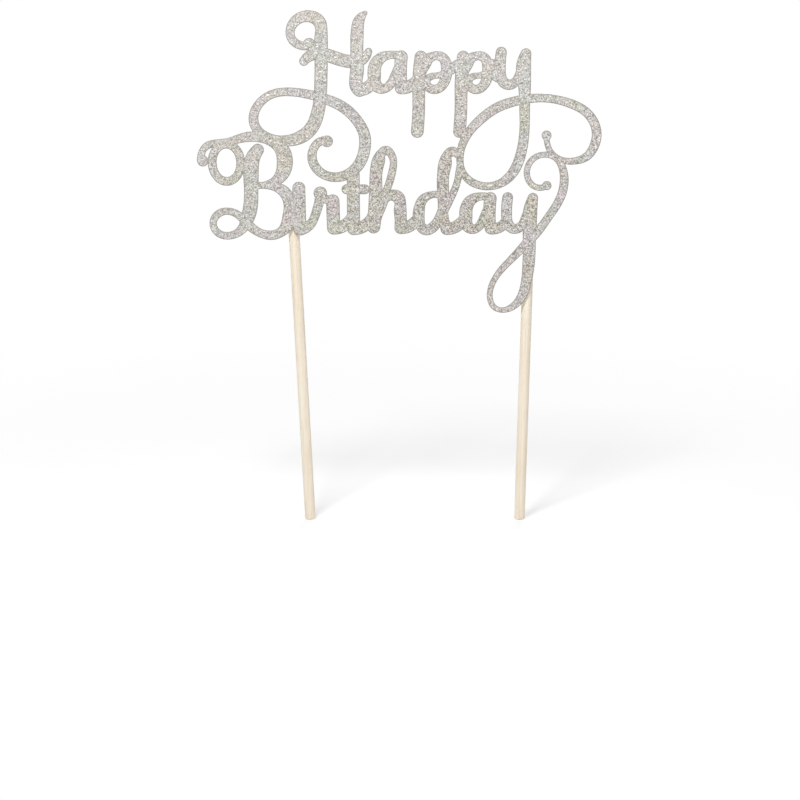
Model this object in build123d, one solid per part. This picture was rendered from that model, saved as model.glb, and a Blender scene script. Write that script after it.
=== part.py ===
from build123d import *
import os

# A greeting cut out of one sheet of glitter card, held up by two round wooden sticks.
# The frame: X runs along the words, Z is up and the glittered face looks towards -Y.
# The origin lies midway between the sticks, on their axes, at the height to which they are pushed in.

# Lettering, in millimetres
letter_height = 17.0        # height of a small letter without a riser or a tail
stem_width = 4.7            # width of an upright stroke
baseline_height = 71.0      # foot of the lower word above the origin
upper_baseline_share = 3.03     # foot of the upper word above the foot of the lower one, in letter heights
upper_y_lift_share = 0.08       # the upper word's last letter stands this much higher, in letter heights
capital_h_drop_share = 0.04     # the upper word's capital hangs this much lower, in letter heights

# Sheet
card_thickness = 0.5        # card with its coat of glitter

# Sticks
stick_diameter = 4.0
stick_length = 120.0
stick_end_chamfer = 0.3
left_stick_lean = 2.5       # degrees, top leaning outwards
right_stick_lean = 1.0      # degrees, top leaning outwards

# Glue
glue_film = 0.3             # glue left between a stick and the card
glue_shoulder = 0.45        # glue standing out on each side of a stick
glue_round_share = 0.8      # rounding of a bead's rim, as a share of its height
glue_stick_clearance = 0.02     # between a bead and the stick that it grips

# Places on the lettering, in letter heights: across from the origin and up from the lower baseline
left_stick_across_share = -2.58
right_stick_across_share = 2.495
stick_top_share = 0.6
left_glue_shares = (0.14, 0.54)
right_glue_shares = (-0.5, 0.5)

# Strokes of the pen. Each row is a point of the stroke's middle line, across and up in letter heights,
# and the width of the pen there as a share of the stem's width.

# Upper word, first letter: a curl runs into the stem, a loop and a long curl under the next letters
capital_h_stem_shares = [
    (-2.18, 4.075, 0.76), (-2.40, 4.06, 0.67), (-2.57, 4.19, 0.67), (-2.585, 4.42, 0.72),
    (-2.44, 4.60, 0.82), (-2.20, 4.66, 0.90), (-1.995, 4.555, 0.98), (-1.95, 4.28, 1.00),
    (-1.955, 3.80, 1.02), (-1.965, 3.30, 1.00), (-1.99, 2.90, 1.00), (-2.055, 2.575, 1.03),
    (-2.21, 2.27, 1.04), (-2.50, 2.08, 0.98), (-2.84, 2.045, 0.78), (-3.15, 2.14, 0.70),
    (-3.36, 2.33, 0.74), (-3.40, 2.56, 0.74), (-3.28, 2.825, 0.69), (-3.00, 3.03, 0.66),
    (-2.65, 3.08, 0.66), (-2.25, 3.03, 0.70), (-1.85, 2.92, 0.80), (-1.485, 2.745, 0.85),
    (-1.21, 2.48, 0.84), (-1.05, 2.165, 0.90), (-1.05, 1.85, 0.92), (-1.175, 1.53, 0.88),
    (-1.42, 1.32, 0.80), (-1.71, 1.26, 0.74), (-2.00, 1.37, 0.74), (-2.155, 1.60, 0.74),
    (-2.145, 1.85, 0.68), (-2.02, 2.01, 0.66), (-1.86, 2.05, 0.66)]
capital_h_bar_shares = [
    (-2.315, 3.725, 0.70), (-2.13, 3.865, 0.92), (-1.93, 3.87, 1.00), (-1.60, 3.775, 1.02),
    (-1.30, 3.715, 0.98), (-1.075, 3.775, 0.86), (-0.955, 3.925, 0.56)]
capital_h_right_shares = [
    (-1.025, 4.725, 0.36), (-1.13, 4.61, 0.78), (-1.19, 4.36, 0.98), (-1.20, 3.80, 1.00),
    (-1.215, 3.40, 1.05), (-1.215, 3.21, 1.05), (-1.15, 3.115, 1.02)]

# Small letters: each is drawn from its own stem and the foot of its line
small_a_bowl_shares = [
    (0.00, 0.80, 0.70), (-0.21, 0.825, 0.63), (-0.405, 0.765, 0.84), (-0.54, 0.57, 1.00),
    (-0.55, 0.355, 1.01), (-0.505, 0.18, 0.94), (-0.37, 0.115, 0.76), (-0.22, 0.20, 0.72),
    (-0.11, 0.40, 0.72), (-0.01, 0.62, 0.72)]
small_a_stem_shares = [
    (0.02, 0.785, 0.98), (0.005, 0.50, 0.96), (0.03, 0.13, 0.90)]
foot_link_shares = [
    (0.00, 0.13, 0.96), (0.19, 0.172, 0.96), (0.42, 0.51, 0.72)]
small_p_stem_shares = [
    (0.045, 0.785, 0.94), (0.03, 0.60, 1.00), (0.005, 0.20, 1.00), (0.005, -0.25, 0.97),
    (-0.025, -0.79, 0.98)]
small_p_bowl_shares = [
    (0.05, 0.47, 0.86), (0.15, 0.68, 0.98), (0.30, 0.795, 0.70), (0.47, 0.79, 0.74), (0.57, 0.67, 0.84),
    (0.59, 0.46, 0.88), (0.535, 0.245, 0.80), (0.37, 0.105, 0.72), (0.22, 0.14, 0.70),
    (0.165, 0.265, 0.62), (0.27, 0.375, 0.54), (0.45, 0.40, 0.52), (0.62, 0.48, 0.74), (0.82, 0.62, 0.80)]
small_y_arm_shares = [
    (-0.49, 0.80, 0.84), (-0.51, 0.52, 0.85), (-0.495, 0.30, 0.84), (-0.43, 0.165, 0.84),
    (-0.33, 0.12, 0.80), (-0.21, 0.165, 0.74), (-0.11, 0.33, 0.74), (0.00, 0.58, 0.76)]

# Upper word, last letter: the stem drops into a wide drop-shaped loop and ends in a curl to the right
upper_y_stem_shares = [
    (2.36, 3.88, 0.83), (2.315, 3.62, 1.14), (2.34, 3.20, 0.98), (2.35, 2.75, 0.82), (2.35, 2.20, 0.78),
    (2.27, 1.70, 0.82), (2.09, 1.32, 0.78), (1.815, 1.11, 0.66), (1.54, 1.065, 0.62), (1.25, 1.15, 0.62),
    (1.05, 1.36, 0.56), (0.985, 1.66, 0.56), (1.045, 1.985, 0.64), (1.205, 2.27, 0.70),
    (1.44, 2.515, 0.76), (1.735, 2.73, 0.78), (2.065, 2.86, 0.76), (2.42, 2.935, 0.70),
    (2.86, 2.94, 0.64), (3.30, 2.84, 0.70), (3.685, 2.625, 0.72), (3.88, 2.28, 0.74), (3.855, 1.96, 0.74),
    (3.68, 1.70, 0.66), (3.40, 1.605, 0.54), (3.10, 1.65, 0.50), (2.92, 1.80, 0.48), (2.84, 2.00, 0.46),
    (2.825, 2.14, 0.46)]
upper_y_link_shares = [
    (1.60, 3.50, 1.17), (1.69, 3.52, 1.80)]

# Lower word, first letter: an eye with a top stroke over it, a stem, a lower eye and two bowls
capital_b_top_shares = [
    (-4.53, 1.62, 0.70), (-4.52, 1.78, 0.56), (-4.41, 1.93, 0.58), (-4.20, 1.99, 0.58),
    (-3.95, 2.02, 0.60), (-3.70, 2.09, 0.70), (-3.40, 2.13, 0.80), (-3.10, 2.06, 0.76),
    (-2.83, 1.88, 1.09), (-2.75, 1.60, 1.25), (-2.80, 1.36, 1.11), (-2.965, 1.17, 0.78),
    (-3.20, 1.09, 0.54), (-3.45, 1.08, 0.52)]
capital_b_stem_shares = [
    (-3.325, 1.845, 0.96), (-3.425, 1.69, 1.12), (-3.475, 1.44, 1.20), (-3.48, 1.00, 1.11),
    (-3.505, 0.60, 1.13), (-3.585, 0.33, 1.04), (-3.745, 0.085, 0.70), (-3.98, -0.01, 0.60),
    (-4.22, 0.06, 0.58), (-4.31, 0.26, 0.57), (-4.205, 0.46, 0.60), (-4.00, 0.525, 0.56),
    (-3.77, 0.445, 0.62), (-3.57, 0.25, 0.74), (-3.32, 0.06, 0.68), (-3.08, 0.00, 0.74),
    (-2.85, 0.075, 0.80), (-2.71, 0.25, 1.04), (-2.675, 0.43, 1.02), (-2.655, 0.64, 0.97),
    (-2.735, 0.90, 0.95), (-2.96, 1.055, 0.72), (-3.20, 1.085, 0.54), (-3.45, 1.08, 0.52)]
capital_b_eye_shares = (-3.997, 1.57, 0.305, 0.40, 0.68)      # middle, two radii and pen of the upper eye

small_i_stem_shares = [
    (-2.46, 1.025, 1.00), (-2.45, 0.14, 1.00)]
small_i_link_shares = [
    (-2.43, 0.135, 1.00), (-2.24, 0.22, 0.80), (-2.10, 0.48, 0.72), (-2.015, 0.80, 0.78)]
small_r_shoulder_shares = [
    (-2.00, 0.87, 0.74), (-1.89, 0.79, 0.70), (-1.74, 0.76, 0.74)]
small_r_stem_shares = [
    (-1.735, 0.745, 1.04), (-1.72, 0.16, 1.04)]
small_t_stem_shares = [
    (-1.295, 1.32, 1.00), (-1.29, 0.145, 1.02)]
small_t_bar_shares = [
    (-1.44, 1.00, 0.77), (-1.045, 1.00, 0.77)]
small_h_stem_shares = [
    (-0.86, 0.185, 1.04), (-0.825, 0.60, 1.08), (-0.81, 1.05, 1.02), (-0.795, 1.43, 1.00),
    (-0.715, 1.70, 0.93), (-0.575, 1.83, 0.72), (-0.46, 1.71, 0.60), (-0.45, 1.42, 0.60),
    (-0.535, 1.10, 0.60), (-0.66, 0.82, 0.60), (-0.79, 0.55, 0.60)]
small_h_arch_shares = [
    (-0.79, 0.36, 0.74), (-0.68, 0.66, 0.78), (-0.49, 0.87, 0.84), (-0.335, 0.825, 0.98),
    (-0.29, 0.61, 0.98), (-0.28, 0.40, 0.96), (-0.28, 0.165, 0.96)]
small_d_bowl_shares = [
    (0.62, 0.86, 0.66), (0.41, 0.885, 0.56), (0.21, 0.79, 0.74), (0.115, 0.55, 0.90), (0.12, 0.30, 0.90),
    (0.25, 0.12, 0.84), (0.42, 0.18, 0.84), (0.55, 0.385, 0.72), (0.62, 0.62, 0.66)]
small_d_stem_shares = [
    (0.71, 0.135, 0.88), (0.655, 0.30, 0.86), (0.63, 0.58, 0.78), (0.627, 0.95, 0.93),
    (0.635, 1.35, 0.97), (0.70, 1.66, 0.95), (0.83, 1.81, 0.76), (0.945, 1.745, 0.62),
    (0.985, 1.48, 0.56), (0.93, 1.15, 0.56), (0.80, 0.82, 0.60), (0.67, 0.55, 0.60)]
lower_a_link_shares = [
    (1.67, 0.145, 0.92), (1.83, 0.165, 0.86), (1.99, 0.32, 0.80)]

# Lower word, last letter: the tail loops back across its stem and rises into a closing curl
lower_y_stem_shares = [
    (2.555, 0.81, 0.82), (2.505, 0.55, 1.09), (2.495, 0.25, 1.12), (2.495, -0.15, 1.00),
    (2.49, -0.55, 0.98), (2.46, -0.90, 0.86), (2.40, -1.21, 0.78), (2.285, -1.445, 0.66),
    (2.11, -1.60, 0.52), (1.92, -1.65, 0.42), (1.75, -1.58, 0.44), (1.665, -1.42, 0.46),
    (1.665, -1.20, 0.46), (1.745, -0.98, 0.48), (1.915, -0.735, 0.54), (2.15, -0.485, 0.60),
    (2.43, -0.18, 0.72), (2.685, 0.10, 0.71), (2.88, 0.375, 0.66), (3.05, 0.63, 0.67),
    (3.175, 0.90, 0.69), (3.22, 1.20, 0.68), (3.17, 1.48, 0.60), (3.02, 1.68, 0.50), (2.80, 1.745, 0.46),
    (2.58, 1.68, 0.48), (2.445, 1.51, 0.48), (2.42, 1.31, 0.48), (2.50, 1.13, 0.48), (2.66, 1.035, 0.48),
    (2.82, 1.06, 0.48)]

# Round pen rests at the ends of curls: middle and radius, all in letter heights
pen_rest_shares = [
    (-2.205, 4.08, 0.13), (-2.32, 3.725, 0.10), (-1.845, 2.03, 0.125), (2.825, 2.155, 0.105),
    (-4.50, 1.61, 0.12), (-2.00, 0.915, 0.145), (2.85, 1.08, 0.10)]

# Repeated small letters: stem across, foot up and width of the letter, in letter heights
small_a_place_shares = [(-0.285, upper_baseline_share, 1.00), (1.625, 0.02, 0.91)]
small_p_place_shares = [(0.10, upper_baseline_share, 1.00), (0.995, upper_baseline_share, 0.96)]
foot_link_place_shares = [
    (-1.15, upper_baseline_share - capital_h_drop_share, 0.80), (-0.27, upper_baseline_share, 1.00),
    (-1.72, 0.02, 1.00), (-1.29, 0.01, 1.00), (-0.28, 0.03, 1.00), (0.71, 0.01, 1.00)]
small_y_place_shares = [(2.345, upper_baseline_share + upper_y_lift_share, 1.03), (2.505, 0.02, 1.00)]

# A stroke that turns further than this is cut into sections, so that no section crosses itself
section_turn = 140.0        # degrees
slight_turn = 2.0           # degrees, a corner or a bend smaller than this is left out

stick_radius = stick_diameter / 2
card_back = stick_radius + glue_film        # from the sticks' axes forward to the back of the card
glue_height = glue_film + stick_radius      # from the back of the card to the sticks' axes


def on_sheet(across_share, up_share):
    """Point of the sheet, given in letter heights across from the origin and up from the lower baseline."""
    return Vector(across_share * letter_height, baseline_height + up_share * letter_height)


def moved(rows, across_share, up_share, width_share):
    """Rows of a letter drawn from its own stem, set at their place in a word."""
    return [(across_share + across * width_share, up_share + up, pen) for across, up, pen in rows]


def arrival(way, step):
    """Heading with which an arc ends that sets out along a heading and covers a step."""
    chord = step.normalized()
    return chord * (2 * way.dot(chord)) - way


def headings(points):
    """Direction of the stroke at each point: along the circle through the point and its neighbours."""
    steps = [after - before for before, after in zip(points, points[1:])]
    if len(steps) == 1:
        return [steps[0].normalized()] * 2
    inner = []
    for before, after in zip(steps, steps[1:]):
        inner.append((before / before.length ** 2 + after / after.length ** 2).normalized())
    return [arrival(inner[0], steps[0])] + inner + [arrival(inner[-1], steps[-1])]


def sections(ways):
    """Index pairs that cut a stroke where its turning adds up to a section."""
    cuts = [0]
    turned = 0
    for index in range(1, len(ways)):
        turned += ways[index - 1].get_angle(ways[index])
        if turned > section_turn and index - 1 > cuts[-1]:
            cuts.append(index - 1)
            turned = ways[index - 1].get_angle(ways[index])
    cuts.append(len(ways) - 1)
    return list(zip(cuts, cuts[1:]))


def meeting_point(start, start_way, finish, finish_way):
    """Point where two arcs meet that lead smoothly from one heading to the other."""
    span = finish - start
    along = span.dot(start_way + finish_way)
    turn = 2 * (1 - start_way.dot(finish_way))
    reach = span.dot(span) / (along + (along ** 2 + turn * span.dot(span)) ** 0.5)
    return (start + finish + (start_way - finish_way) * reach) / 2


def bend(start, way, finish):
    """Arc that leaves its start along a heading, or a line where the heading already points at the finish."""
    if 2 * way.get_angle(finish - start) < slight_turn:
        return Line(start, finish)
    return TangentArc(start, finish, tangent=way)


def smooth_edges(rim, run):
    """Arcs through one run of a stroke's rim, one or two to each step, without a corner between them."""
    ends = headings(rim)
    fair_curve = Spline(*rim, tangents=(ends[0], ends[-1]), tangent_scalars=(1, 1))
    points = rim[run]
    ways = [fair_curve.tangent_at(point) for point in points]
    edges = []
    for start, start_way, finish, finish_way in zip(points, ways, points[1:], ways[1:]):
        if arrival(start_way, finish - start).get_angle(finish_way) < slight_turn:
            edges.append(bend(start, start_way, finish))
        else:
            middle = meeting_point(start, start_way, finish, finish_way)
            edges += [bend(start, start_way, middle), bend(finish, -finish_way, middle)]
    return edges


def stroke(rows):
    """Faces that the pen covers along one stroke, with both ends rounded."""
    points = [on_sheet(across, up) for across, up, pen in rows]
    halves = [pen * stem_width / 2 for across, up, pen in rows]
    ways = headings(points)
    sides = [way.rotate(Axis.Z, 90) for way in ways]
    left = [point + side * half for point, side, half in zip(points, sides, halves)]
    right = [point - side * half for point, side, half in zip(points, sides, halves)]
    faces = []
    for first, last in sections(ways):
        run = slice(first, last + 1)
        start = Line(right[first], left[first])
        end = Line(left[last], right[last])
        if first == 0:
            start = ThreePointArc(right[0], points[0] - ways[0] * halves[0], left[0])
        if last == len(rows) - 1:
            end = ThreePointArc(left[-1], points[-1] + ways[-1] * halves[-1], right[-1])
        rims = smooth_edges(left, run) + smooth_edges(right, run)
        faces.append(make_face([start, end] + rims).face())
    return faces


def pen_rest(across, up, radius):
    """Round dot where the pen rests at the end of a curl."""
    middle = on_sheet(across, up)
    return (Pos(middle.X, middle.Y) * Circle(radius * letter_height)).face()


def eye(across, up, radius_across, radius_up, pen):
    """Closed oval ring drawn by the pen."""
    middle = on_sheet(across, up)
    half_pen = pen * stem_width / 2
    wide = radius_across * letter_height
    high = radius_up * letter_height
    ring = Ellipse(wide + half_pen, high + half_pen) - Ellipse(wide - half_pen, high - half_pen)
    return (Pos(middle.X, middle.Y) * ring).face()


def lettering():
    """Outline of both words as one joined face."""
    strokes = [
        capital_h_stem_shares, capital_h_bar_shares, capital_h_right_shares,
        upper_y_stem_shares, upper_y_link_shares,
        capital_b_top_shares, capital_b_stem_shares, small_i_stem_shares, small_i_link_shares,
        small_r_shoulder_shares, small_r_stem_shares, small_t_stem_shares, small_t_bar_shares,
        small_h_stem_shares, small_h_arch_shares, small_d_bowl_shares, small_d_stem_shares,
        lower_a_link_shares, lower_y_stem_shares]
    for place in small_a_place_shares:
        strokes += [moved(small_a_bowl_shares, *place), moved(small_a_stem_shares, *place)]
    for place in small_p_place_shares:
        strokes += [moved(small_p_bowl_shares, *place), moved(small_p_stem_shares, *place)]
    for place in foot_link_place_shares:
        strokes += [moved(foot_link_shares, *place)]
    for place in small_y_place_shares:
        strokes += [moved(small_y_arm_shares, *place)]
    faces = [face for rows in strokes for face in stroke(rows)]
    faces += [pen_rest(*rest) for rest in pen_rest_shares]
    faces += [eye(*capital_b_eye_shares)]
    return faces[0].fuse(*faces[1:])


def sheet(outline):
    """The outline cut out of card, whose back lies on the glue in front of the sticks."""
    return extrude(Plane.XZ.offset(card_back) * outline, card_thickness)


def stick_frame(across_share, lean):
    """Frame of a stick: origin on its axis at the lower baseline, Z up along it, -Y to the card."""
    foot = on_sheet(across_share, 0)
    return Pos(foot.X, 0, foot.Y) * Rot(0, lean, 0)


def stick(frame):
    """Round stick with both rims eased, hanging from its top behind the card."""
    top = stick_top_share * letter_height
    body = Cylinder(stick_radius, stick_length, align=(Align.CENTER, Align.CENTER, Align.MAX))
    body = chamfer(body.edges().filter_by(GeomType.CIRCLE), stick_end_chamfer)
    return frame * Pos(0, 0, top) * body


def glue_bead(frame, span):
    """Bead of glue on the back of the card, pressed round the stick."""
    low = span[0] * letter_height
    high = span[1] * letter_height
    base = Plane(origin=(0, -card_back, (low + high) / 2), x_dir=(0, 0, 1), z_dir=(0, 1, 0))
    bead = extrude(base * SlotOverall(high - low, stick_diameter + 2 * glue_shoulder), glue_height)
    rim = bead.faces().sort_by(Axis.Y)[-1].edges()
    bead = fillet(rim, glue_round_share * glue_height)
    return frame * (bead - Cylinder(stick_radius + glue_stick_clearance, stick_length))


outline = lettering()
left_frame = stick_frame(left_stick_across_share, -left_stick_lean)
right_frame = stick_frame(right_stick_across_share, right_stick_lean)
pieces = {
    "glitter_card": sheet(outline),
    "left_stick": stick(left_frame),
    "right_stick": stick(right_frame),
    "left_glue_bead": glue_bead(left_frame, left_glue_shares),
    "right_glue_bead": glue_bead(right_frame, right_glue_shares),
}

os.makedirs("parts", exist_ok=True)
for name, piece in pieces.items():
    export_step(piece, f"parts/{name}.step")
    print(name, "solids", len(piece.solids()), "volume", round(piece.volume, 2))
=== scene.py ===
# %% [markdown]
# # A glitter topper
# This lesson dresses a small party piece: a greeting cut out of silver glitter card, held up by two
# birch sticks that are glued to its back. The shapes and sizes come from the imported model, so the first
# step loads it and keeps its box. Everything made later has to stay inside that box.

# %% The frame
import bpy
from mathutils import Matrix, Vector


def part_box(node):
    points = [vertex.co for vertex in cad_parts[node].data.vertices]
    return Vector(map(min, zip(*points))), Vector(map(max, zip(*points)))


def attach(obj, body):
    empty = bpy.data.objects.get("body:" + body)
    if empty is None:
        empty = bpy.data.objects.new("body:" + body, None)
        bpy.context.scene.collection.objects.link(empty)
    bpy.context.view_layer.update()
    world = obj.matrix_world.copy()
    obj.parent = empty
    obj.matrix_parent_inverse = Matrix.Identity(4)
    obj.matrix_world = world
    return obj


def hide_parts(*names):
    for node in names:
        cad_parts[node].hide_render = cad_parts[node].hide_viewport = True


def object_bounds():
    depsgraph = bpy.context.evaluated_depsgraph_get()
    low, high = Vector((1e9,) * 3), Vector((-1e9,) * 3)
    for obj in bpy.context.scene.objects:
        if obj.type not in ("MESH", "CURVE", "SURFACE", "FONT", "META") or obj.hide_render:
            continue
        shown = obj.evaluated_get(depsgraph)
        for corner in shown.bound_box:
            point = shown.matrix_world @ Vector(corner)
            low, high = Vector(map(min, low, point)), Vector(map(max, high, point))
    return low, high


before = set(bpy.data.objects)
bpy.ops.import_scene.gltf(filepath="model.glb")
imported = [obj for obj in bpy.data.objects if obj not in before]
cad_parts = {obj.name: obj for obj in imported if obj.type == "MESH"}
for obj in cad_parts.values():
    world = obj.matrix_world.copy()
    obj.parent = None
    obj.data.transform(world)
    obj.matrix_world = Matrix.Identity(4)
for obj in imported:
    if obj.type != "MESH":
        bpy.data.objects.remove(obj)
cad_low, cad_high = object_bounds()
print("frame:", sorted(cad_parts), "from", cad_low, "to", cad_high)

# %% [markdown]
# Blender works in metres, and this object is small, so a millimetre gets a name. Every random draw comes
# from one seeded source, so that each run gives the same flakes.

# %% Units and tools
import math
import random
import bmesh
import bpy
from mathutils import Vector, geometry
from mathutils.bvhtree import BVHTree
from mathutils.kdtree import KDTree

MM = 0.001
draw = random.Random(7)
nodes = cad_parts

# %% [markdown]
# The sheet of card is cut by a die: a steel rule is pressed through the coat and the card. A copy of the
# CAD sheet is the start, because its outline is right. Its triangles are loose, so they are merged first,
# with a reach that also takes up the very short steps of the outline. The faces that look almost straight
# forward are the field that the glitter will cover.

# %% A copy of the sheet
MERGE_REACH = 0.06 * MM
FACING = 0.9


def merged_copy(node):
    """The CAD node's mesh as a closed bmesh of its own."""
    shape = bmesh.new()
    shape.from_mesh(nodes[node].data)
    bmesh.ops.remove_doubles(shape, verts=shape.verts, dist=MERGE_REACH)
    return shape


sheet = merged_copy("glitter_card")
tone = sheet.faces.layers.float.new("flake_tone")
card_low, card_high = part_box("glitter_card")
front_y = card_low.y
field = [face for face in sheet.faces if face.normal.y < -FACING]
print("sheet:", len(sheet.verts), "points,", len(field), "front faces")

# %% [markdown]
# The front gets new faces later, so two questions about places on it come first: is this place on the
# front at all, and how far is it from the outline? A ray cast into the copy answers the first. For the
# second, the long straight edges are divided into short steps and their ends put into a search tree.

# %% The outline
FLAKE_SIZE = 0.5 * MM
INTO_CARD = Vector((0, 1, 0))

sheet_tree = BVHTree.FromBMesh(sheet)
field_set = set(field)
cuts_wanted = {}
for edge in sheet.edges:
    if len(field_set.intersection(edge.link_faces)) == 1:
        cuts_wanted.setdefault(int(edge.calc_length() / FLAKE_SIZE), []).append(edge)
for cuts in sorted(cuts_wanted):
    if cuts:
        bmesh.ops.bisect_edges(sheet, edges=cuts_wanted[cuts], cuts=cuts)
steps = []
for face in field:
    for corner in face.loops:
        if not field_set.issuperset(corner.edge.link_faces):
            steps.append((corner.vert, corner.link_loop_next.vert))
outline = list(dict.fromkeys(point for step in steps for point in step))
outline_tree = KDTree(len(outline))
for number, point in enumerate(outline):
    outline_tree.insert(point.co, number)
outline_tree.balance()


def on_front(across, up):
    """True if this place lies on the front of the sheet."""
    return sheet_tree.ray_cast(Vector((across, front_y - MM, up)), INTO_CARD)[0] is not None


def well_inside(across, up, reach):
    """True if this place lies on the front and further than this from the outline."""
    return on_front(across, up) and outline_tree.find((across, front_y, up))[2] > reach


print("outline:", len(steps), "steps")

# %% [markdown]
# The die drags the coat down along the cut, so the face ends in a narrow pressed rim. Its slope is
# real, and its darker colour is painted shade, a dark outline along the edges. An inset could make it, but
# its loops cross where the strokes bend tightly. So a row of points runs one rim's width inside the
# outline, one for the middle of each step, and the outline itself drops back a little. Where a point would
# come too near to another step, it is left out.

# %% The pressed rim
RIM_WIDTH = 0.32 * MM
RIM_DROP = 0.16 * MM
RIM_TOP = 0.05 * MM
NEAREST_SHARE = 0.9

rim_row = []
for start, end in steps:
    inward = (end.co - start.co).cross(INTO_CARD).normalized()
    place = (start.co + end.co) / 2 + inward * RIM_WIDTH
    if well_inside(place.x, place.z, NEAREST_SHARE * RIM_WIDTH):
        rim_row.append((place.x, place.z))
for point in outline:
    point.co.y = front_y + RIM_DROP
print("rim:", len(rim_row), "points in the row")

# %% [markdown]
# The glitter is a bed of tiny foil flakes that lie at all angles. A bump in the material could fake it,
# but real facets catch the light from every side and stay in the exported mesh. Points are strewn over
# the front on a shaken lattice, inside the rim and a little clear of it.

# %% Points for the flakes
SHAKE = 0.32
CLEAR_OF_RIM = 0.3 * MM
ROW_RISE = math.sqrt(3) / 2

strewn = []
for row in range(int((card_high.z - card_low.z) / (FLAKE_SIZE * ROW_RISE)) + 1):
    for column in range(int((card_high.x - card_low.x) / FLAKE_SIZE) + 1):
        across = card_low.x + FLAKE_SIZE * (column + row % 2 / 2 + draw.uniform(-SHAKE, SHAKE))
        up = card_low.z + FLAKE_SIZE * (row * ROW_RISE + draw.uniform(-SHAKE, SHAKE))
        if well_inside(across, up, RIM_WIDTH + CLEAR_OF_RIM):
            strewn.append((across, up))
print("flakes:", len(strewn), "points inside the rim")

# %% [markdown]
# Blender's Delaunay fill joins all these points as small triangles, with the outline as a fence. It is
# given the places in millimetres, and takes two that are closer than its reach as one. Each flake's points
# sink by a random amount, so that every triangle gets a tilt of its own.

# %% The fill
FLAKE_DEPTH = 0.12 * MM
FILL_REACH = 0.001

order = {point: number for number, point in enumerate(outline)}
places = [Vector((point.co.x, point.co.z)) / MM for point in outline]
places += [Vector(place) / MM for place in rim_row + strewn]
fences = [[order[start], order[end]] for start, end in steps]
filled = geometry.delaunay_2d_cdt(places, fences, [], 0, FILL_REACH)
fill_places, fill_triangles, fill_sources = filled[0], filled[2], filled[3]
corners = []
for place, sources in zip(fill_places, fill_sources):
    source = min(sources)
    if source < len(outline):
        corners.append(outline[source])
    else:
        depth = RIM_TOP if source < len(outline) + len(rim_row) else draw.uniform(0, FLAKE_DEPTH)
        corners.append(sheet.verts.new((place.x * MM, front_y + depth, place.y * MM)))
print("fill:", len(fill_triangles), "triangles over", len(corners), "points")

# %% [markdown]
# The fill also covers the openings, so each triangle is asked whether it belongs to the card. Beside the
# outline the answer is its turning: the outline was walked with the card on its left. Elsewhere its
# middle is looked up. The triangles that touch the outline are the rim and the others are flakes. Each
# flake gets a random tone, kept as a value of its face, which the silver finish reads later.

# %% The bed of flakes
walked = set(steps)


def is_card(triangle):
    """True if this triangle of the fill belongs to the card."""
    points = [corners[number] for number in triangle]
    for pair in zip(points, points[1:] + points[:1]):
        if pair in walked:
            return True
        if pair[::-1] in walked:
            return False
    middle = sum((fill_places[number] for number in triangle), Vector((0, 0))) / len(triangle) * MM
    return on_front(middle.x, middle.y)


bed_corners = [[corners[number] for number in triangle] for triangle in fill_triangles if is_card(triangle)]
bmesh.ops.delete(sheet, geom=field, context="FACES")
bed = [sheet.faces.new(points) for points in bed_corners]
rim = {face for face in bed if any(point in order for point in face.verts)}
flakes = [face for face in bed if face not in rim]
for flake in flakes:
    flake[tone] = draw.random()
open_edges = [edge for edge in sheet.edges if len(edge.link_faces) != 2]
print("bed:", len(flakes), "flakes,", len(rim), "rim faces,", len(open_edges), "open edges")

# %% [markdown]
# Materials come next. Each one is a small tree of nodes, and so is the world later. A few helpers keep the
# code short: they make a node and set its values, join an output to an input, lay colours along a ramp or
# multiply two colours.

# %% Helpers for finishes
def new_finish(name):
    """An empty finish with its surface shader."""
    finish = bpy.data.materials.new(name)
    finish.use_nodes = True
    return finish


def add(owner, kind, values=None, **settings):
    """A new node of this kind in a finish or the world, with its values set."""
    made = owner.node_tree.nodes.new("ShaderNode" + kind)
    for name, value in settings.items():
        setattr(made, name, value)
    for name, value in (values or {}).items():
        made.inputs[name].default_value = value
    return made


def join(owner, source, target):
    """Joins one node's output to another's input."""
    owner.node_tree.links.new(source, target)


def shader(finish, values):
    """The surface shader of the finish, with these values."""
    surface = finish.node_tree.nodes["Principled BSDF"]
    for name, value in values.items():
        surface.inputs[name].default_value = value
    return surface


def ramp(finish, stops):
    """A colour ramp through these places and colours."""
    made = add(finish, "ValToRGB")
    while len(made.color_ramp.elements) < len(stops):
        made.color_ramp.elements.new(0.5)
    for element, (place, colour) in zip(made.color_ramp.elements, stops):
        element.position = place
        element.color = (*colour, 1)
    return made


def product(finish, first, second):
    """The output of two colours multiplied."""
    made = add(finish, "Mix", {"Factor": 1.0}, data_type="RGBA", blend_type="MULTIPLY")
    join(finish, first, made.inputs["A"])
    join(finish, second, made.inputs["B"])
    return made.outputs["Result"]


print("helpers ready")

# %% [markdown]
# The coat of glitter is not even. Patches about two strokes wide lean to rose or green, and others to
# straw. One noise gives both kinds, because its colour channels change apart from each other.

# %% Patches in the coat
PATCH_NOISE = {"Scale": 110.0, "Detail": 2.0}
PATCH_TINTS = {
    "Red": [(0.3, (1.0, 0.955, 0.975)), (0.7, (0.955, 0.985, 0.965))],
    "Green": [(0.3, (1.0, 1.0, 1.0)), (0.7, (0.99, 0.98, 0.885))],
}


def with_patches(finish, colour, where):
    """The colour with rosy, green and straw patches laid over it."""
    patches = add(finish, "TexNoise", PATCH_NOISE)
    join(finish, where.outputs["Object"], patches.inputs["Vector"])
    channels = add(finish, "SeparateColor")
    join(finish, patches.outputs["Color"], channels.inputs["Color"])
    for channel, stops in PATCH_TINTS.items():
        layer = ramp(finish, stops)
        join(finish, channels.outputs[channel], layer.inputs["Fac"])
        colour = product(finish, colour, layer.outputs["Color"])
    return colour


print("patches:", sorted(PATCH_TINTS))
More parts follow.
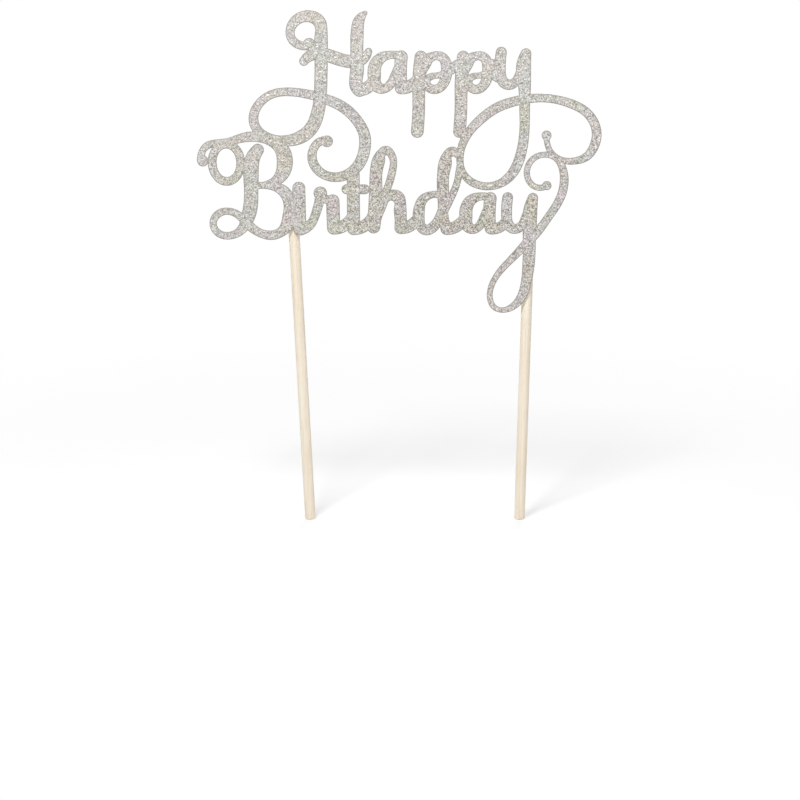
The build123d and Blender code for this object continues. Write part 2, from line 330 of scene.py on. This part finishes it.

# %% [markdown]
# Towards the middle of the lower word the flakes are painted darker, the dark ones most, so the sparkle is
# stronger there: this is painted shade and painted sparkle, a falloff of light put into the colour. A
# brightness and contrast node does both, by an amount that fades with the distance. The dark place is wide,
# so distances across are squeezed, and the place itself is given in squeezed ones.

# %% Painted shade on the lower word
DARK_SQUEEZE = (0.6, 1.0, 1.0)
DARKEST_PLACE = (10 * MM, 0, 80 * MM)
FADE_REACH = 65 * MM
PAINTED_SHADE = {"Bright": -0.10, "Contrast": 0.3}


def with_painted_shade(finish, colour, where):
    """The colour with painted shade: darker and stronger in contrast towards the darkest place."""
    squeezed = add(finish, "VectorMath", {1: DARK_SQUEEZE}, operation="MULTIPLY")
    join(finish, where.outputs["Object"], squeezed.inputs[0])
    away = add(finish, "VectorMath", {1: DARKEST_PLACE}, operation="DISTANCE")
    join(finish, squeezed.outputs["Vector"], away.inputs[0])
    # Painted shade: darker and stronger in contrast towards the lower word.
    made = add(finish, "BrightContrast")
    join(finish, colour, made.inputs["Color"])
    for name, strongest in PAINTED_SHADE.items():
        amount = add(finish, "MapRange", {"From Max": FADE_REACH, "To Min": strongest, "To Max": 0.0})
        join(finish, away.outputs["Value"], amount.inputs["Value"])
        join(finish, amount.outputs["Result"], made.inputs[name])
    return made.outputs["Color"]


print("darkest at", DARKEST_PLACE, "fading over", FADE_REACH)

# %% [markdown]
# The silver finish is metal foil. The tone of each flake picks a grey from dark to bright: the flakes'
# tilts give some real glints, and this spread of greys adds painted glints on top. A second random number
# from the same tone tints each flake a little pink, green or straw, as foil does under white light. The
# same number makes some flakes duller than others. The patches and the painted shade on the lower word go
# on top.

# %% Silver flakes
FOIL_METAL = 0.85
FOIL_DULLNESS = {"To Min": 0.28, "To Max": 0.5}
# The spread of these greys is partly painted glints.
FOIL_GLINT_GREYS = [
    (0.0, (0.345, 0.331, 0.343)),
    (0.45, (0.59, 0.576, 0.599)),
    (0.8, (0.725, 0.711, 0.744)),
    (1.0, (0.88, 0.872, 0.908)),
]
FOIL_TINTS = [
    (0.0, (1.0, 0.93, 0.93)),
    (0.35, (0.95, 1.0, 0.93)),
    (0.7, (1.0, 0.98, 0.9)),
    (1.0, (0.97, 0.97, 1.0)),
]


def silver_flakes():
    """Foil flakes in many greys, partly painted glints, with a faint tint each."""
    finish = new_finish("silver_flakes")
    surface = shader(finish, {"Metallic": FOIL_METAL})
    own_tone = add(finish, "Attribute", attribute_name="flake_tone")
    greys = ramp(finish, FOIL_GLINT_GREYS)
    join(finish, own_tone.outputs["Fac"], greys.inputs["Fac"])
    chance = add(finish, "TexWhiteNoise", noise_dimensions="1D")
    join(finish, own_tone.outputs["Fac"], chance.inputs["W"])
    tints = ramp(finish, FOIL_TINTS)
    join(finish, chance.outputs["Value"], tints.inputs["Fac"])
    where = add(finish, "TexCoord")
    tinted = product(finish, greys.outputs["Color"], tints.outputs["Color"])
    colour = with_painted_shade(finish, with_patches(finish, tinted, where), where)
    join(finish, colour, surface.inputs["Base Color"])
    dullness = add(finish, "MapRange", FOIL_DULLNESS)
    join(finish, chance.outputs["Value"], dullness.inputs["Value"])
    join(finish, dullness.outputs["Result"], surface.inputs["Roughness"])
    return finish


flakes_finish = silver_flakes()
print("finish:", flakes_finish.name)

# %% [markdown]
# The pressed rim gets this paper finish in dark shades, which are painted shade along the cut edges. The
# cut edge shows the core of the card, and the back shows its plain white face. All three are one finish in
# other shades: a soft mottle for the pulp, fine stretched streaks for the fibres, and a little bump from
# both.

# %% Card
PULP_NOISE = {"Scale": 420.0, "Detail": 4.0}
FIBRE_NOISE = {"Scale": 1.0, "Detail": 2.0}
FIBRE_STRETCH = {"Rotation": (0, 0.5, 0), "Scale": (600, 600, 3600)}
PAPER_BUMP = {"Strength": 0.25, "Distance": 0.05 * MM}
PAPER_GLOSS = 0.3
MOTTLE_LOW = 0.35
MOTTLE_HIGH = 0.65


def card_finish(name, dark, light, roughness):
    """Uncoated paper between two shades, with pulp mottle and fibres."""
    finish = new_finish(name)
    surface = shader(finish, {"Roughness": roughness, "Specular IOR Level": PAPER_GLOSS})
    where = add(finish, "TexCoord")
    pulp = add(finish, "TexNoise", PULP_NOISE)
    join(finish, where.outputs["Object"], pulp.inputs["Vector"])
    stretched = add(finish, "Mapping", FIBRE_STRETCH)
    join(finish, where.outputs["Object"], stretched.inputs["Vector"])
    fibre = add(finish, "TexNoise", FIBRE_NOISE)
    join(finish, stretched.outputs["Vector"], fibre.inputs["Vector"])
    both = add(finish, "Math", operation="ADD")
    join(finish, pulp.outputs["Fac"], both.inputs[0])
    join(finish, fibre.outputs["Fac"], both.inputs[1])
    halved = add(finish, "Math", {1: 0.5}, operation="MULTIPLY")
    join(finish, both.outputs["Value"], halved.inputs[0])
    shades = ramp(finish, [(MOTTLE_LOW, dark), (MOTTLE_HIGH, light)])
    join(finish, halved.outputs["Value"], shades.inputs["Fac"])
    join(finish, shades.outputs["Color"], surface.inputs["Base Color"])
    bump = add(finish, "Bump", PAPER_BUMP)
    join(finish, halved.outputs["Value"], bump.inputs["Height"])
    join(finish, bump.outputs["Normal"], surface.inputs["Normal"])
    return finish


# The rim's dark shades are painted shade along the cut edges.
rim_shade_finish = card_finish("pressed_rim_painted_shade", (0.25, 0.237, 0.212), (0.39, 0.37, 0.335), 0.6)
core_finish = card_finish("card_core", (0.30, 0.28, 0.26), (0.46, 0.44, 0.41), 0.85)
back_finish = card_finish("card_back", (0.74, 0.72, 0.67), (0.86, 0.85, 0.81), 0.85)
print("finishes:", rim_shade_finish.name, core_finish.name, back_finish.name)

# %% [markdown]
# Now the sheet becomes an object. Its faces are sorted by where they lie: flakes, rim, cut wall or back.
# The flakes stay flat, and the walls are shaded smooth round the curves but not over sharp bends. The sheet
# stands in for the CAD card from here on.

# %% The glitter sheet
SHEET_FINISHES = [flakes_finish, rim_shade_finish, core_finish, back_finish]
ON_FLAKES, ON_RIM, ON_CORE, ON_BACK = range(len(SHEET_FINISHES))
SHARP_BEND = 0.6


def new_object(name, shape, finishes):
    """Turns a bmesh into an object of the scene with these finishes."""
    mesh = bpy.data.meshes.new(name)
    shape.to_mesh(mesh)
    shape.free()
    for finish in finishes:
        mesh.materials.append(finish)
    made = bpy.data.objects.new(name, mesh)
    bpy.context.scene.collection.objects.link(made)
    return made


flake_set = set(flakes)
for face in sheet.faces:
    face.normal_update()
    if face in flake_set:
        face.material_index = ON_FLAKES
    elif face in rim:
        face.material_index = ON_RIM
    elif face.normal.y > FACING:
        face.material_index = ON_BACK
    else:
        face.material_index = ON_CORE
        face.smooth = True
for edge in sheet.edges:
    edge.smooth = all(face.smooth for face in edge.link_faces) and edge.calc_face_angle(0) < SHARP_BEND
glitter_sheet = new_object("glitter_sheet", sheet, SHEET_FINISHES)
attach(glitter_sheet, "root")
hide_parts("glitter_card")
print("piece:", glitter_sheet.name, len(glitter_sheet.data.polygons), "faces")

# %% [markdown]
# The sticks are turned birch, bare and sanded. The CAD sticks have the right shape, so they stay and only
# get wood: fine grain that runs along the stick, with a slight bump, and a slow change of warmth. Each
# stick leans its own way, so the grain is turned by that stick's lean.

# %% Birch
STICK_LEANS = {"left_stick": 2.5, "right_stick": -1.0}
BARE_WOOD = {"Roughness": 0.62, "Specular IOR Level": 0.35}
GRAIN_STRETCH = (1400, 1400, 45)
GRAIN_NOISE = {"Scale": 1.0, "Detail": 5.0, "Roughness": 0.6}
GRAIN_BUMP = {"Strength": 0.2, "Distance": 0.05 * MM}
GRAIN_SHADES = [
    (0.25, (0.735, 0.635, 0.495)),
    (0.5, (0.82, 0.738, 0.615)),
    (0.75, (0.87, 0.805, 0.695)),
]
WARMTH_NOISE = {"Scale": 60.0, "Detail": 2.0}
WARMTH_SHADES = [(0.3, (0.97, 0.95, 0.92)), (0.7, (1.0, 1.0, 1.0))]


def birch(name, lean):
    """Pale birch with its grain along a stick that leans by this many degrees."""
    finish = new_finish(name)
    surface = shader(finish, BARE_WOOD)
    where = add(finish, "TexCoord")
    along = add(finish, "Mapping", {"Rotation": (0, math.radians(lean), 0), "Scale": GRAIN_STRETCH})
    join(finish, where.outputs["Object"], along.inputs["Vector"])
    grain = add(finish, "TexNoise", GRAIN_NOISE)
    join(finish, along.outputs["Vector"], grain.inputs["Vector"])
    shades = ramp(finish, GRAIN_SHADES)
    join(finish, grain.outputs["Fac"], shades.inputs["Fac"])
    slow = add(finish, "TexNoise", WARMTH_NOISE)
    join(finish, where.outputs["Object"], slow.inputs["Vector"])
    warmth = ramp(finish, WARMTH_SHADES)
    join(finish, slow.outputs["Fac"], warmth.inputs["Fac"])
    shaded = product(finish, shades.outputs["Color"], warmth.outputs["Color"])
    join(finish, shaded, surface.inputs["Base Color"])
    bump = add(finish, "Bump", GRAIN_BUMP)
    join(finish, grain.outputs["Fac"], bump.inputs["Height"])
    join(finish, bump.outputs["Normal"], surface.inputs["Normal"])
    return finish


for node, lean in STICK_LEANS.items():
    nodes[node].material_slots[0].material = birch(node + "_birch", lean)
print("finishes:", [nodes[node].material_slots[0].material.name for node in STICK_LEANS])

# %% [markdown]
# The glue is a cloudy hot-melt bead. Light spreads a little way into it before it comes out again, which
# the shader's subsurface part gives without any glass. Faint clouds change its shade and its soft gloss.

# %% Hot glue
MILKY_GLUE = {
    "IOR": 1.48,
    "Subsurface Weight": 0.3,
    "Subsurface Radius": (1.0, 0.9, 0.7),
    "Subsurface Scale": 0.6 * MM,
}
CLOUD_NOISE = {"Scale": 700.0, "Detail": 3.0}
CLOUD_SHADES = [(0.3, (0.82, 0.78, 0.68)), (0.7, (0.92, 0.90, 0.84))]
CLOUD_DULLNESS = {"To Min": 0.18, "To Max": 0.4}


def hot_glue():
    """Milky glue with faint clouds inside."""
    finish = new_finish("cloudy_glue")
    surface = shader(finish, MILKY_GLUE)
    where = add(finish, "TexCoord")
    clouds = add(finish, "TexNoise", CLOUD_NOISE)
    join(finish, where.outputs["Object"], clouds.inputs["Vector"])
    shades = ramp(finish, CLOUD_SHADES)
    join(finish, clouds.outputs["Fac"], shades.inputs["Fac"])
    join(finish, shades.outputs["Color"], surface.inputs["Base Color"])
    dullness = add(finish, "MapRange", CLOUD_DULLNESS)
    join(finish, clouds.outputs["Fac"], dullness.inputs["Value"])
    join(finish, dullness.outputs["Result"], surface.inputs["Roughness"])
    return finish


glue_finish = hot_glue()
for node in ("left_glue_bead", "right_glue_bead"):
    nodes[node].material_slots[0].material = glue_finish
print("finish:", glue_finish.name)

# %% [markdown]
# The studio is plain: a white floor at the sticks' ends, a pale world and three lamps. The floor is matt
# to the light, but the camera and reflections see it glow white. Near the object the camera sees a share
# of the matt floor too, so that the soft shadow shows there.

# %% Floor
FLOOR_SIDE = 12.0
FLOOR_SHADE = (0.9, 0.9, 0.9, 1)
SHADOW_SHARE = 0.45
SHADOW_NEAR = 110 * MM
SHADOW_FAR = 330 * MM


def seen_directly(owner):
    """A value that is 1 for camera, mirror and see-through rays, and 0 for the rest."""
    path = add(owner, "LightPath")
    total = path.outputs["Is Camera Ray"]
    for kind in ("Is Glossy Ray", "Is Transmission Ray"):
        most = add(owner, "Math", operation="MAXIMUM")
        join(owner, total, most.inputs[0])
        join(owner, path.outputs[kind], most.inputs[1])
        total = most.outputs[0]
    return total


def white_floor():
    """A white floor that keeps a share of the shadows near the object."""
    finish = new_finish("white_floor")
    tree = finish.node_tree
    tree.nodes.remove(tree.nodes["Principled BSDF"])
    matt = add(finish, "BsdfDiffuse", {"Color": FLOOR_SHADE})
    glow = add(finish, "Emission", {"Strength": 1.0})
    where = add(finish, "TexCoord")
    away = add(finish, "VectorMath", operation="LENGTH")
    join(finish, where.outputs["Object"], away.inputs[0])
    fade = {"From Min": SHADOW_NEAR, "From Max": SHADOW_FAR, "To Min": 1 - SHADOW_SHARE}
    plain = add(finish, "MapRange", fade, interpolation_type="SMOOTHSTEP")
    join(finish, away.outputs["Value"], plain.inputs["Value"])
    share = add(finish, "Math", operation="MULTIPLY")
    join(finish, seen_directly(finish), share.inputs[0])
    join(finish, plain.outputs["Result"], share.inputs[1])
    mix = add(finish, "MixShader")
    join(finish, share.outputs[0], mix.inputs["Fac"])
    join(finish, matt.outputs[0], mix.inputs[1])
    join(finish, glow.outputs[0], mix.inputs[2])
    join(finish, mix.outputs[0], tree.nodes["Material Output"].inputs["Surface"])
    return finish


floor_shape = bmesh.new()
bmesh.ops.create_grid(floor_shape, x_segments=1, y_segments=1, size=FLOOR_SIDE / 2)
bmesh.ops.translate(floor_shape, verts=floor_shape.verts, vec=(0, 0, cad_low.z))
floor = new_object("floor", floor_shape, [white_floor()])
print("stage:", floor.name, "at", cad_low.z)

# %% [markdown]
# The world works in the same way: it is white to the camera and in reflections, while the light that it
# sends to the object stays at a plain level. So the background is white and pale surfaces don't clip.

# %% World
WORLD_LIGHT = 0.36

world = bpy.data.worlds.new("pale_world")
bpy.context.scene.world = world
world.use_nodes = True
sky = world.node_tree.nodes["Background"]
sky.inputs["Color"].default_value = (1, 1, 1, 1)
level = add(world, "MapRange", {"To Min": WORLD_LIGHT})
join(world, seen_directly(world), level.inputs["Value"])
join(world, level.outputs["Result"], sky.inputs["Strength"])
print("world:", world.name, "with light", WORLD_LIGHT)

# %% [markdown]
# The main lamp stands high in front and a little to the left, as in the photograph, where the sheet throws
# a thin shadow on the sticks just below its edge. It is small, so that this shadow keeps an edge. A weaker
# and larger lamp fills from the right, and a third one stands far behind and lights the back. Places and
# sides are in metres, and powers in watts.

# %% Lamps
LAMPS = {
    "key_lamp": {"place": (-0.16, -0.36, 0.62), "side": 0.15, "power": 3.7},
    "fill_lamp": {"place": (0.36, -0.42, 0.42), "side": 0.3, "power": 0.7},
    "back_lamp": {"place": (0.2, 0.9, 0.7), "side": 0.6, "power": 4.5},
}
letters_middle = Vector((0, 0, (card_low.z + card_high.z) / 2))


def soft_lamp(name, place, side, power):
    """A square lamp at this place, turned to the middle of the letters."""
    light = bpy.data.lights.new(name, "AREA")
    light.size = side
    light.energy = power
    lamp = bpy.data.objects.new(name, light)
    bpy.context.scene.collection.objects.link(lamp)
    lamp.location = place
    lamp.rotation_euler = (letters_middle - Vector(place)).to_track_quat("-Z", "Y").to_euler()
    return lamp


lamps = [soft_lamp(name, **values) for name, values in LAMPS.items()]
print("lamps:", [lamp.name for lamp in lamps])

# %% [markdown]
# The camera looks down a little, as in the photograph. Its lens, distance and tilt were found by laying
# the sticks and the letters over the picture. The frame's origin lies between the sticks, at the height
# to which they are pushed in, and lands on one known pixel.

# %% Camera
PICTURE_SIDE = 800
FOCAL_PIXELS = 2128
SENSOR_WIDTH = 36
VIEW_DISTANCE = 800 * MM
VIEW_TILT = math.radians(15.1)
ORIGIN_PIXEL = (413.25, 420.2)

sight = Vector((0, math.cos(VIEW_TILT), -math.sin(VIEW_TILT)))
upward = Vector((0, math.sin(VIEW_TILT), math.cos(VIEW_TILT)))
rightward = Vector((1, 0, 0))
pixel_reach = VIEW_DISTANCE / FOCAL_PIXELS
off_right = (ORIGIN_PIXEL[0] - PICTURE_SIDE / 2) * pixel_reach
off_up = (PICTURE_SIDE / 2 - ORIGIN_PIXEL[1]) * pixel_reach
view = bpy.data.cameras.new("photo_view")
view.sensor_width = SENSOR_WIDTH
view.lens = FOCAL_PIXELS / PICTURE_SIDE * SENSOR_WIDTH
camera = bpy.data.objects.new("photo_view", view)
bpy.context.scene.collection.objects.link(camera)
camera.location = -(sight * VIEW_DISTANCE + rightward * off_right + upward * off_up)
camera.rotation_euler = (math.pi / 2 - VIEW_TILT, 0, 0)
bpy.context.scene.camera = camera
bpy.context.scene.view_settings.view_transform = "Standard"
print("camera:", camera.location, "lens", view.lens)
